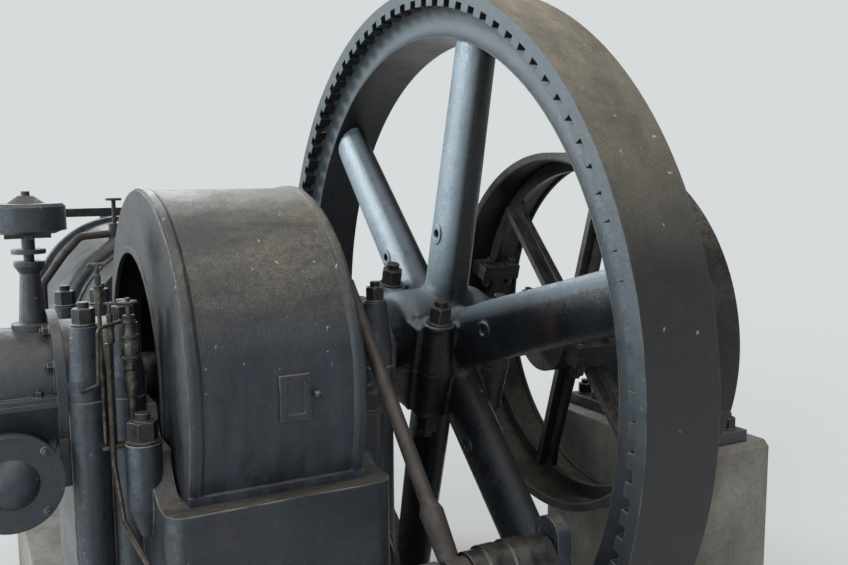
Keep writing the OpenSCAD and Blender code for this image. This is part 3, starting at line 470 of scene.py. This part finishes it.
def tread(s):
    """The outside of the flywheel's rim, by the distance from its axis."""
    place = s.split(s.object)
    flat = s.node("ShaderNodeCombineXYZ")
    s.feed(flat.inputs["Y"], place["Y"])
    rise = s.node("ShaderNodeMath", operation="SUBTRACT")
    s.feed(rise.inputs[0], place["Z"])
    s.feed(rise.inputs[1], SHAFT_HEIGHT)
    s.feed(flat.inputs["Z"], rise.outputs[0])
    reach = s.node("ShaderNodeVectorMath", operation="LENGTH")
    s.feed(reach.inputs[0], flat.outputs[0])
    return s.ramp(reach.outputs["Value"], WHEEL_RADIUS - TREAD_STEP[0], WHEEL_RADIUS - TREAD_STEP[1])


def bare_steel(name, bright, dark, gloss=0.35, metallic=0.85, edge=0.0035, worn=(0.52, 0.50, 0.45)):
    """Machined steel with a film of old oil."""
    s = Shader(name)
    film = s.noise(14.0, 6, 0.6, warp=0.5)
    grime = s.noise(60.0, 6, 0.65)
    turned = s.noise(9.0, 4, 0.6, at=s.scaled((40.0, 1.0, 1.0)))
    mask, rounded = s.edges(edge)
    color = s.mix(s.ramp(film, 0.38, 0.66), dark, bright)
    color = s.mix(s.times(s.ramp(grime, 0.50, 0.66), 0.5), color, OLD_OIL)
    settled = s.times(s.up(0.55, 1.0), s.ramp(grime, 0.3, 0.6, 0.2, 0.6))
    color = s.mix(settled, color, OILY_DUST)
    color = s.mix(s.times(mask, s.ramp(film, 0.35, 0.6, 0.35, 0.9)), color, worn)
    rough = s.ramp(film, 0.3, 0.7, gloss - 0.08, gloss + 0.2)
    normal = s.bump(grime, 0.0006, 0.4, s.bump(turned, 0.0004, 0.4, rounded))
    return s.finish(color, rough, normal, metallic)


def rusted(name, brown, orange, dark, gloss=0.55, metallic=0.25, edge=0.003):
    """Rusted iron: brown with orange and dark patches."""
    s = Shader(name)
    patch = s.noise(16.0, 8, 0.65, warp=0.8)
    grain = s.noise(160.0, 5, 0.7)
    mask, rounded = s.edges(edge)
    color = s.mix(s.ramp(patch, 0.42, 0.62), brown, dark)
    color = s.mix(s.times(s.ramp(grain, 0.52, 0.70), 0.5), color, orange)
    color = s.mix(s.times(s.up(0.3, 1.0), 0.35), color, RUST_DUST)
    color = s.mix(s.times(mask, 0.45), color, RUBBED_RUST)
    rough = s.ramp(patch, 0.3, 0.7, gloss - 0.12, gloss + 0.2)
    normal = s.bump(grain, 0.0007, 0.6, s.bump(patch, 0.002, 0.4, rounded))
    return s.finish(color, rough, normal, metallic)


def old_brass(name, bright, dull, shine):
    """Handled brass or copper: dark tarnish with rubbed spots."""
    s = Shader(name)
    tarnish = s.noise(34.0, 6, 0.6, warp=0.6)
    grime = s.noise(120.0, 5, 0.6)
    mask, rounded = s.edges(0.0015)
    color = s.mix(s.ramp(tarnish, 0.36, 0.60), bright, dull)
    color = s.mix(s.times(s.ramp(grime, 0.48, 0.64), 0.6), color, BRASS_GRIME)
    color = s.mix(s.times(mask, 0.5), color, shine)
    rough = s.ramp(tarnish, 0.3, 0.7, 0.30, 0.55)
    return s.finish(color, rough, s.bump(grime, 0.0004, 0.4, rounded), 0.7)


def concrete(name, pale, dark):
    """Weathered concrete with rust runs, grey-brown grime and chipped arrises."""
    s = Shader(name)
    cloud = s.noise(3.5, 8, 0.65)
    grain = s.noise(70.0, 6, 0.7)
    pits, _own = s.cells(55.0)
    runs = s.noise(5.0, 7, 0.65, at=s.scaled((2.6, 2.6, 0.4)))
    mask, rounded = s.edges(0.012)
    color = s.mix(s.ramp(cloud, 0.34, 0.64), pale, dark)
    color = s.mix(s.times(s.ramp(grain, 0.48, 0.68), 0.5), color, BLOCK_GRIME)
    color = s.mix(s.times(s.ramp(runs, 0.50, 0.70), 0.55), color, BLOCK_RUST)
    # Darker towards the bottom of the block
    color = s.mix(s.times(s.height(0.30, 0.0), 0.5), color, BLOCK_LOW_DARK)
    color = s.mix(s.times(mask, 0.3), color, BLOCK_CHIPPED)
    rough = s.ramp(grain, 0.3, 0.7, 0.78, 0.96)
    depth = s.math("ADD", s.times(grain, 0.6), s.ramp(pits, 0.0, 0.25))
    return s.finish(color, rough, s.bump(depth, 0.004, 0.8, rounded), Specular_IOR_Level=0.3)


def glass(name):
    """Old sight glass with a little oil film."""
    s = Shader(name)
    film = s.noise(30.0, 4, 0.5)
    color = s.mix(s.ramp(film, 0.35, 0.65), GLASS_CLEAR, GLASS_OILY)
    return s.finish(color, s.ramp(film, 0.3, 0.7, 0.06, 0.25), Transmission_Weight=0.8, IOR=1.45)


FINISHES = {
    # Painted highlights ride on the black, bed and wheel paints; painted light and dust on the rim paint;
    # a painted reflection low on the guard paint
    "black_paint": cast_paint("black_paint", (0.014, 0.018, 0.024), (0.034, 0.043, 0.056),
                              BLACK_DUST, dusty=0.9, gloss=0.27, rust=0.35, spots=0.25,
                              spot_size=0.18, bands=((painted_sheen_strip, PAINTED_SHEEN, 0.6, 0.0),)),
    "bed_paint": cast_paint("bed_paint", (0.014, 0.018, 0.024), (0.036, 0.046, 0.058), LEDGE_DUST,
                            dusty=0.8, gloss=0.30, edge=0.008, worn=(0.52, 0.47, 0.37), rust=0.6,
                            spots=0.30, spot_size=0.18, slope=(0.2, 1.0),
                            bands=((painted_sheen_strip, PAINTED_SHEEN, 0.6, 0.0),)),
    "guard_paint": cast_paint("guard_paint", (0.012, 0.014, 0.019), (0.028, 0.033, 0.042), BROWN_DUST,
                              dusty=1.1, gloss=0.30, edge=0.006, spots=0.42, spot_size=0.18,
                              slope=(0.25, 0.85), low=(1.00, 1.75, GUARD_LOW_REFLECTION),
                              bands=((facing_left, SIDE_DULL, 0.8, 0.35),)),
    "wheel_paint": cast_paint("wheel_paint", (0.005, 0.006, 0.008), (0.013, 0.016, 0.020),
                              (0.10, 0.10, 0.095), dusty=0.4, gloss=0.26, edge=0.006, spots=0.14,
                              spot_size=0.16, bands=((painted_spoke_highlights, SPOKE_HIGHLIGHT, 0.95, 0.0),),
                              shine=0.40, even=0.85),
    "rim_paint": cast_paint("rim_paint", (0.007, 0.008, 0.010), (0.018, 0.022, 0.027), (0.10, 0.09, 0.075),
                            dusty=0.5, gloss=0.32, edge=0.005, spots=0.24, spot_size=0.17,
                            bands=((painted_light_rim, RIM_PAINTED_LIGHT, 0.75, 0.10), (tread, TREAD_GREY, 0.9, 0.2),
                                   (dusty_and_lit_tread, TREAD_DUST_AND_LIGHT, 1.0, 0.3)), shine=0.35, even=0.75),
    "pulley_paint": cast_paint("pulley_paint", (0.006, 0.006, 0.007), (0.014, 0.014, 0.016),
                               PULLEY_DUST, dusty=1.0, gloss=0.38, rust=0.5, slope=(0.05, 0.75),
                               bands=((open_left, LEFT_FACE_GREY, 0.65, 0.1),), shine=0.3),
    "concrete": concrete("concrete", (0.27, 0.255, 0.225), (0.15, 0.14, 0.122)),
    "steel": bare_steel("steel", (0.15, 0.145, 0.14), (0.050, 0.047, 0.044)),
    "nut_steel": bare_steel("nut_steel", (0.050, 0.053, 0.058), (0.020, 0.020, 0.022),
                            gloss=0.40, metallic=0.45),
    "rusty_steel": rusted("rusty_steel", (0.050, 0.040, 0.035), (0.095, 0.060, 0.040),
                          (0.025, 0.021, 0.020)),
    "brass": old_brass("brass", (0.15, 0.14, 0.115), (0.045, 0.043, 0.040), (0.70, 0.66, 0.56)),
    "copper_pipe": old_brass("copper_pipe", (0.105, 0.084, 0.070), (0.045, 0.041, 0.038),
                             (0.42, 0.36, 0.30)),
    "glass": glass("glass"),
}

# Nodes whose look differs from the rest of their material slot
OWN_FINISH = {"bed": "bed_paint", "flywheel_rim": "rim_paint"}


def dress_nodes():
    """Gives every CAD node the finish of its material slot."""
    for row in frame["record"]["subparts"]:
        mesh = frame["nodes"][row["node"]].data
        mesh.materials.clear()
        mesh.materials.append(FINISHES[OWN_FINISH.get(row["node"], row["material_slot"])])


# Castings with soft, flowing edges


def settle(made):
    """Writes what the modifiers do into the mesh."""
    graph = bpy.context.evaluated_depsgraph_get()
    mesh = bpy.data.meshes.new_from_object(made.evaluated_get(graph))
    made.modifiers.clear()
    made.data = mesh


def soften(node, body, near):
    """Stands a remeshed and smoothed copy in for a CAD node, smoothed more where near() asks."""
    source = frame["nodes"][node]
    made = bpy.data.objects.new(node + "_cast", source.data.copy())
    bpy.context.collection.objects.link(made)
    remesh = made.modifiers.new("remesh", "REMESH")
    remesh.mode, remesh.voxel_size, remesh.use_smooth_shade = "VOXEL", CAST_VOXEL, True
    smooth = made.modifiers.new("smooth", "SMOOTH")
    smooth.factor, smooth.iterations = SMOOTHING, CAST_PASSES
    settle(made)
    blend_roots(made, near)
    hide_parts(node)
    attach(made, body)
    return made


def blend_roots(made, near):
    """Lets the arms flow into the hub: many more passes of smoothing, only in the given places."""
    group = made.vertex_groups.new(name="roots")
    for vertex in made.data.vertices:
        share = near(vertex.co)
        if share > 0.0:
            group.add([vertex.index], share, "REPLACE")
    smooth = made.modifiers.new("roots", "SMOOTH")
    smooth.factor, smooth.iterations, smooth.vertex_group = SMOOTHING, ROOT_PASSES, "roots"
    settle(made)


def castings():
    """The flywheel's spokes and hub, which flow together and show the hub's joint."""
    spokes = soften("flywheel_spokes", "crank", spoke_root)
    cut_joint(spokes.data)
    spokes.data.materials.clear()
    spokes.data.materials.append(FINISHES["wheel_paint"])


def spoke_root(place):
    """How strongly the casting is blended at a place: the spokes' roots, but not the bolts' bosses."""
    reach = math.hypot(place.y, place.z - SHAFT_HEIGHT)
    hub = Matrix.Rotation(-WHEEL_TURN, 3, "X") @ Vector((place.x, place.y, place.z - SHAFT_HEIGHT))
    if abs(abs(hub.y) - BOSS_Y) < BOSS_CLEAR and min(abs(hub.x - x) for x in BOSS_X) < BOSS_CLEAR:
        return 0.0
    if reach < ROOT_START:
        return 0.0
    return max(0.0, min(1.0, (ROOT_REACH - reach) / ROOT_FADE))


def cut_joint(mesh):
    """The joint of the split hub: a fine groove round it, in the plane between its halves."""
    made = bmesh.new()
    made.from_mesh(mesh)
    centre = Vector((0.0, 0.0, SHAFT_HEIGHT))
    across = Matrix.Rotation(WHEEL_TURN, 3, "X") @ Vector((0.0, 0.0, 1.0))
    for shift in (-JOINT_HALF, 0.0, JOINT_HALF):
        faces = [f for f in made.faces if near_joint(f.calc_center_median(), centre, across)]
        parts = {e for f in faces for e in f.edges} | {v for f in faces for v in f.verts} | set(faces)
        bmesh.ops.bisect_plane(made, geom=list(parts), dist=JOINT_MERGE,
                               plane_co=centre + shift * across, plane_no=across)
    made.normal_update()
    moves = []
    for vertex in made.verts:
        if abs((vertex.co - centre).dot(across)) < JOINT_ON and near_joint(vertex.co, centre, across):
            moves.append((vertex, vertex.normal.copy()))
    for vertex, normal in moves:
        vertex.co -= JOINT_DEPTH * normal
    bmesh.ops.triangulate(made, faces=[f for f in made.faces if len(f.verts) > 4])
    made.to_mesh(mesh)
    made.free()


def near_joint(place, centre, across):
    """Whether a place lies near the plane between the hub's halves, and on the hub."""
    offset = place - centre
    reach = math.hypot(offset.y, offset.z)
    return abs(offset.dot(across)) < JOINT_ZONE and JOINT_START < reach < JOINT_REACH


def join_rings(made, rings, closed=False):
    """Joins rings of points into a skin that closes on itself, or has a lid at both ends."""
    count = len(rings[0])
    pairs = list(zip(rings, rings[1:]))
    if closed:
        pairs.append((rings[-1], rings[0]))
    for inner, outer in pairs:
        for k in range(count):
            j = (k + 1) % count
            made.faces.new((inner[k], inner[j], outer[j], outer[k]))
    if not closed:
        made.faces.new(rings[0])
        made.faces.new(rings[-1])
    bmesh.ops.recalc_face_normals(made, faces=made.faces)


def finished(made, name, finish, smooth=True):
    """Turns a mesh in the making into an object with its finish."""
    mesh = bpy.data.meshes.new(name)
    made.to_mesh(mesh)
    made.free()
    mesh.polygons.foreach_set("use_smooth", [smooth] * len(mesh.polygons))
    mesh.materials.append(FINISHES[finish])
    piece = bpy.data.objects.new(name, mesh)
    bpy.context.collection.objects.link(piece)
    return piece


def eye_ring(made, radius, rise):
    """One oval ring of an eye's section, round -X."""
    angles = [2.0 * math.pi * k / EYE_SEGMENTS for k in range(EYE_SEGMENTS)]
    return [
        made.verts.new((-rise, radius * math.cos(angle), EYE_STRETCH * radius * math.sin(angle)))
        for angle in angles
    ]


def eye_rims():
    """The raised oval rims round the core holes in the spokes' left sides, with the dark hole inside."""
    for i, eye_turn in enumerate(EYE_TURNS):
        made = bmesh.new()
        join_rings(made, [eye_ring(made, radius, rise) for radius, rise in EYE_PROFILE])
        rim = finished(made, "spoke_eye_%d" % i, "wheel_paint")
        turn = Matrix.Rotation(eye_turn + WHEEL_TURN, 4, "X")
        out = Matrix.Translation((EYE_X, 0.0, EYE_REACH))
        rim.data.transform(Matrix.Translation((0.0, 0.0, SHAFT_HEIGHT)) @ turn @ out)
        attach(rim, "crank")


# Small fittings


def lathe(name, place, profile, finish, segments=32, closed=False):
    """A turned piece about an upright axis: rings of radius and height, joined into a skin."""
    made = bmesh.new()
    rings = []
    for radius, rise in profile:
        ring = []
        for k in range(segments):
            angle = 2.0 * math.pi * (k + 0.5) / segments
            spot = Vector((radius * math.cos(angle), radius * math.sin(angle), rise))
            ring.append(made.verts.new(spot + place))
        rings.append(ring)
    join_rings(made, rings, closed)
    piece = finished(made, name, finish, smooth=segments > NUT_SIDES)
    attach(piece, "frame")


def hoop(name, place):
    """A rounded ring round an upright axis."""
    turns = [2.0 * math.pi * k / HOOP_SIDES for k in range(HOOP_SIDES)]
    profile = [(HOOP_RADIUS + HOOP_TUBE * math.cos(a), HOOP_TUBE * math.sin(a)) for a in turns]
    lathe(name, place, profile, "brass", segments=HOOP_SEGMENTS, closed=True)


def union_nut(name, place, radius, tall):
    """A hexagon nut with chamfered ends."""
    cut = NUT_CUT * radius
    profile = [(radius - cut, 0.0), (radius, cut), (radius, tall - cut), (radius - cut, tall)]
    lathe(name, place, profile, "brass", segments=NUT_SIDES)


def oiler_details():
    """The sight oiler's glass with its cage, rounded flanges, gland nuts and hand wheel rim."""
    low = Vector(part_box("sight_oiler")[0])
    axis = Vector((low.x + OILER_IN, low.y + OILER_DISC, SHAFT_HEIGHT))
    glass_low, glass_high = GLASS_SPAN
    lathe("oiler_glass", axis, [(GLASS_RADIUS, glass_low), (GLASS_RADIUS, glass_high)], "glass")
    rod = [(ROD_RADIUS, glass_low), (ROD_RADIUS, glass_high)]
    for k in range(CAGE_RODS):
        angle = 2.0 * math.pi * (k + 0.5) / CAGE_RODS
        out = Vector((math.cos(angle), math.sin(angle), 0.0)) * CAGE_RADIUS
        lathe("oiler_rod_%d" % k, axis + out, rod, "brass", ROD_SIDES)
    for name, rise in OILER_HOOPS:
        hoop("oiler_hoop_" + name, axis + Vector((0.0, 0.0, rise)))
    for name, rise, radius, tall in OILER_NUTS:
        union_nut("oiler_nut_" + name, axis + Vector((0.0, 0.0, rise)), radius, tall)


def valve_details():
    """Union nuts on the two small oil valves, and rounded ends on their bars."""
    box_low, box_high = (Vector(corner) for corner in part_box("oil_valves"))
    tall = Vector((box_low.x + VALVE_BAR, box_low.y + VALVE_BODY, box_high.z - VALVE_TOP))
    short = tall + Vector(VALVE_STEP)
    knob = [(KNOB_RADIUS * math.sin(a), KNOB_RADIUS * math.cos(a)) for a in KNOB_TURNS]
    for name, top in (("tall", tall), ("short", short)):
        for kind, drop, radius, height in VALVE_NUTS:
            union_nut("valve_%s_%s" % (kind, name), top - Vector((0.0, 0.0, drop)), radius, height)
        for side, shift in (("left", -VALVE_BAR), ("right", VALVE_BAR)):
            end = top + Vector((shift, 0.0, 0.0))
            lathe("valve_knob_%s_%s" % (name, side), end, knob, "brass", KNOB_SIDES)


# Surroundings


def floor():
    """A wide pale floor that meets the background's colour."""
    bpy.ops.mesh.primitive_plane_add(size=2 * FLOOR_REACH)
    plane = bpy.context.object
    plane.name = "floor"
    s = Shader("floor")
    s.finish(FLOOR_COLOR, 0.9, Specular_IOR_Level=0.0)
    plane.data.materials.append(s.material)


def floor_glow():
    """The floor's colour as the lamps and the world light it, so that the background can match it."""
    glow = [AMBIENT * c for c in AMBIENT_COLOR]
    for _name, toward, strength, _angle, color in SUNS:
        rise = Vector(toward).normalized().z
        glow = [g + strength * rise / math.pi * c for g, c in zip(glow, color)]
    return tuple(g * c for g, c in zip(glow, FLOOR_COLOR))


def world():
    """A plain world: soft light on the object, and the floor's lit colour behind it."""
    made = bpy.data.worlds.new("studio")
    made.use_nodes = True
    tree = made.node_tree
    tree.nodes.clear()
    rays = tree.nodes.new("ShaderNodeLightPath")
    seen = tree.nodes.new("ShaderNodeMath")
    seen.operation = "MAXIMUM"
    tree.links.new(rays.outputs["Is Camera Ray"], seen.inputs[0])
    tree.links.new(rays.outputs["Is Transmission Ray"], seen.inputs[1])
    light, behind = tree.nodes.new("ShaderNodeBackground"), tree.nodes.new("ShaderNodeBackground")
    light.inputs["Color"].default_value = (*AMBIENT_COLOR, 1.0)
    light.inputs["Strength"].default_value = AMBIENT
    behind.inputs["Color"].default_value = (*floor_glow(), 1.0)
    mix, out = tree.nodes.new("ShaderNodeMixShader"), tree.nodes.new("ShaderNodeOutputWorld")
    tree.links.new(seen.outputs[0], mix.inputs[0])
    tree.links.new(light.outputs[0], mix.inputs[1])
    tree.links.new(behind.outputs[0], mix.inputs[2])
    tree.links.new(mix.outputs[0], out.inputs[0])
    bpy.context.scene.world = made


def lights():
    """Wide soft suns: each lights the whole floor evenly, so the floor shows no falloff."""
    for name, toward, strength, angle, color in SUNS:
        light = bpy.data.lights.new(name, "SUN")
        light.energy, light.color, light.angle = strength, color, math.radians(angle)
        made = bpy.data.objects.new(name, light)
        made.rotation_euler = (-Vector(toward)).to_track_quat("-Z", "Y").to_euler()
        bpy.context.collection.objects.link(made)


def camera():
    """The photograph's view, from its place, yaw, pitch and roll."""
    yaw, pitch, roll = (math.radians(a) for a in (CAMERA_YAW, CAMERA_PITCH, CAMERA_ROLL))
    ahead = Vector((math.sin(yaw) * math.cos(pitch), math.cos(yaw) * math.cos(pitch), math.sin(pitch)))
    right = Vector((math.cos(yaw), -math.sin(yaw), 0.0))
    right = Matrix.Rotation(-roll, 3, ahead) @ right
    above = right.cross(ahead)
    made = bpy.data.objects.new("camera", bpy.data.cameras.new("camera"))
    made.data.lens = CAMERA_LENS
    made.data.sensor_width = CAMERA_SENSOR
    made.data.clip_end = CAMERA_FAR
    turn = Matrix((right, above, -ahead)).transposed()
    made.matrix_world = Matrix.Translation(CAMERA_PLACE) @ turn.to_4x4()
    bpy.context.collection.objects.link(made)
    bpy.context.scene.camera = made


dress_nodes()
castings()
eye_rims()
oiler_details()
valve_details()
floor()
world()
lights()
camera()
bpy.context.scene.view_settings.view_transform = "Standard"
